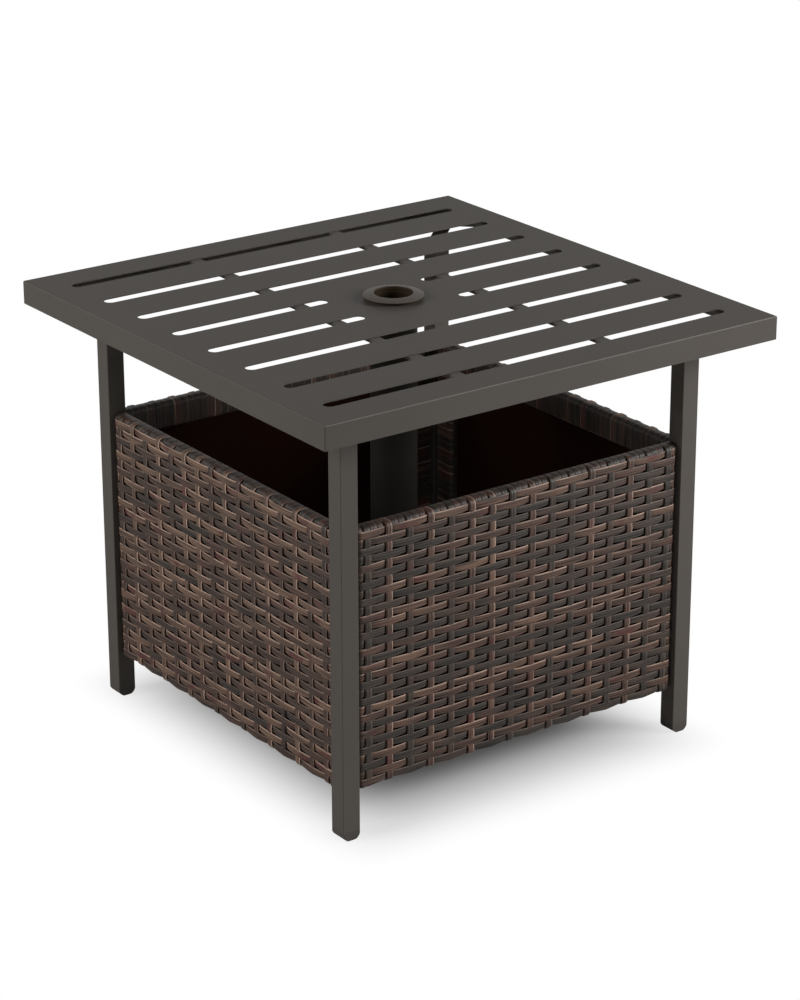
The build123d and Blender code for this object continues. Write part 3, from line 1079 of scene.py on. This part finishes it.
@dataclass
class Studio:
    """White floor and surround, soft light and the photograph's camera."""

    floor_side: float = 40.0
    floor_shown: float = 0.5
    floor_bounce: str = "#f4f4f4"
    floor_lift: float = 0.015
    shadow_shape: tuple[float, float, float] = (1.15, 1.0, 0.0)
    shadow_reach: float = 0.13
    white_from: float = 0.3
    corner_ease: float = 0.1
    ambient: float = 0.1
    key_place: tuple[float, float, float] = (-2.1, 0.5, 1.2)
    key_side: float = 1.1
    key_power: float = 31.0
    fill_place: tuple[float, float, float] = (1.7, -1.75, 1.15)
    fill_side: float = 1.1
    fill_power: float = 60.0
    lamp_aim: tuple[float, float, float] = (0.0, 0.0, 0.25)
    camera_place: tuple[float, float, float] = (-1.8261, -2.5359, 1.4596)
    azimuth: float = -35.875
    elevation: float = 21.233
    roll: float = -0.1045
    lens: float = 113.70

    def floor(self) -> None:
        """Lay the floor: white to the camera, with the table's shadow on it."""
        deselect()
        bpy.ops.mesh.primitive_plane_add(size=self.floor_side)
        floor = bpy.context.object
        floor.name = "floor"
        material, tree = new_material("studio_floor")
        rays = add_node(tree, "ShaderNodeLightPath").outputs["Is Camera Ray"]
        shown = mix(tree, rays, linear(self.floor_bounce), (*[self.floor_shown] * 3, 1.0))
        diffuse = add_node(tree, "ShaderNodeBsdfDiffuse", {"Color": shown})
        lift = reckon(tree, "MULTIPLY", rays, self.floor_lift)
        glow = add_node(tree, "ShaderNodeEmission", {"Strength": lift})
        shaded = add_node(tree, "ShaderNodeAddShader", {
            0: diffuse.outputs["BSDF"], 1: glow.outputs["Emission"]})
        place = add_node(tree, "ShaderNodeTexCoord").outputs["Object"]
        shaped = add_node(tree, "ShaderNodeVectorMath", {
            0: place, 1: self.shadow_shape}, operation="MULTIPLY")
        unsigned = add_node(tree, "ShaderNodeVectorMath", {0: shaped.outputs["Vector"]}, operation="ABSOLUTE")
        sides = add_node(tree, "ShaderNodeSeparateXYZ", {"Vector": unsigned.outputs["Vector"]})
        reach = reckon(tree, "SMOOTH_MAX", sides.outputs["X"], sides.outputs["Y"], self.corner_ease)
        far = add_node(tree, "ShaderNodeMapRange", {
            "Value": reach, "From Min": self.shadow_reach, "From Max": self.white_from},
            interpolation_type="SMOOTHSTEP")
        seen = reckon(tree, "MULTIPLY", far.outputs["Result"], rays)
        white = add_node(tree, "ShaderNodeEmission", {"Strength": 1.0})
        both = add_node(tree, "ShaderNodeMixShader", {
            0: seen, 1: shaded.outputs["Shader"], 2: white.outputs["Emission"]})
        add_node(tree, "ShaderNodeOutputMaterial", {"Surface": both.outputs["Shader"]})
        floor.data.materials.append(material)

    def surround(self) -> None:
        """Light the table evenly from all round, before a white background."""
        world = bpy.data.worlds.new("studio")
        world.use_nodes = True
        bpy.context.scene.world = world
        tree = world.node_tree
        tree.nodes.clear()
        rays = add_node(tree, "ShaderNodeLightPath").outputs
        mirrored = reckon(tree, "MAXIMUM", rays["Is Glossy Ray"], rays["Is Transmission Ray"])
        seen = reckon(tree, "MAXIMUM", rays["Is Camera Ray"], mirrored)
        strength = add_node(tree, "ShaderNodeMapRange", {
            "Value": seen, "To Min": self.ambient, "To Max": 1.0})
        sky = add_node(tree, "ShaderNodeBackground", {"Strength": strength.outputs["Result"]})
        add_node(tree, "ShaderNodeOutputWorld", {"Surface": sky.outputs["Background"]})

    def lamp(self, name: str, place: Vector, side: float, power: float) -> None:
        """Add a square soft lamp that faces the table.

        Args:
            name: Name of the lamp.
            place: Where it stands.
            side: Length of its side.
            power: Power in watts.
        """
        light = bpy.data.lights.new(name, "AREA")
        light.size = side
        light.energy = power
        lamp = bpy.data.objects.new(name, light)
        bpy.context.collection.objects.link(lamp)
        lamp.location = place
        lamp.rotation_euler = (Vector(self.lamp_aim) - place).to_track_quat("-Z", "Y").to_euler()

    def camera(self) -> None:
        """Set the camera where the photograph was taken from."""
        turn, lift, roll = (math.radians(a) for a in (self.azimuth, self.elevation, self.roll))
        back = Vector((math.sin(turn) * math.cos(lift), -math.cos(turn) * math.cos(lift), math.sin(lift)))
        right = Vector((math.cos(turn), math.sin(turn), 0))
        up = back.cross(right)
        axes = Matrix((math.cos(roll) * right + math.sin(roll) * up,
                       math.cos(roll) * up - math.sin(roll) * right, back)).transposed()
        data = bpy.data.cameras.new("camera")
        data.lens = self.lens
        camera = bpy.data.objects.new("camera", data)
        bpy.context.collection.objects.link(camera)
        camera.matrix_world = Matrix.Translation(self.camera_place) @ axes.to_4x4()
        bpy.context.scene.camera = camera

    def build(self) -> None:
        """Set up the whole studio."""
        bpy.context.scene.view_settings.view_transform = "Standard"
        self.floor()
        self.surround()
        self.lamp("key", Vector(self.key_place), self.key_side, self.key_power)
        self.lamp("fill", Vector(self.fill_place), self.fill_side, self.fill_power)
        self.camera()


def main() -> None:
    """Build the table's looks and the studio, in order."""
    logging.basicConfig(level=logging.INFO)
    SteelWork(
        PowderCoat("powder_coated_steel", "#56524d", "#524d49"),
        # Painted shade: the tube's coat, darker for the shade inside the box.
        PowderCoat("dark_powder_coated_steel", "#2d2b29", "#2a2826"),
    ).build()
    Mouldings(
        RingPlastic("ring_polypropylene", "#544d47", 0.4, 0.08),
        MouldedPlastic("foot_polypropylene", "#48433f", 0.5, 0.2),
        # Painted shade: the liner's near-black colour stands for the shade inside the box.
        MouldedPlastic("liner_board", "#1d0c06", 0.8, 0.03),
    ).build()
    Fixings(ZincPlate()).build()
    WovenPanel().build(ResinWicker().material())
    Studio().build()


if __name__ == "__main__":
    main()
